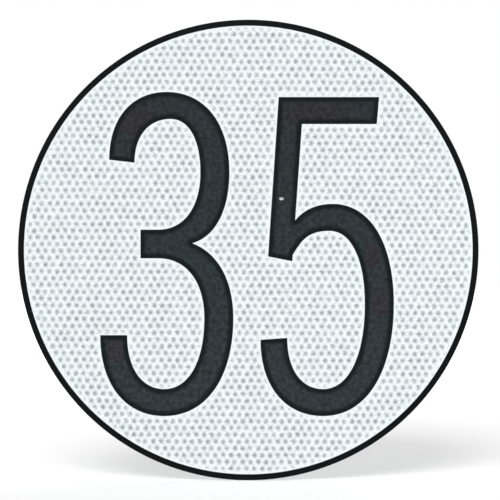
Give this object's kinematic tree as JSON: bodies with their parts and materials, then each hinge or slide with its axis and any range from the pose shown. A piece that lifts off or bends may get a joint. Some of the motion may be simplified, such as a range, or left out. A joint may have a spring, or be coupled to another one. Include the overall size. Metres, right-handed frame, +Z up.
{
  "type": "speed limit sign",
  "caption": "Flat round vehicle speed limit sign: white retroreflective face on an aluminium disc, narrow black border and two tall black figures.",
  "frame": {"origin": "centre of the flat back face", "axes": "+Z is up as the figures are read, +X is to the reader's right, and the front faces -Y"},
  "size_m": [0.2, 0.002, 0.2],
  "materials": {
    "aluminium_plate": "rolled mill finish",
    "white_sheeting": "satin, with small grey lens cells",
    "black_film": "satin"
  },
  "bodies": {
    "root": {"backing_plate": "aluminium_plate", "retroreflective_sheeting": "white_sheeting", "border_ring": "black_film", "figure_three": "black_film", "figure_five": "black_film"}
  },
  "joints": []
}
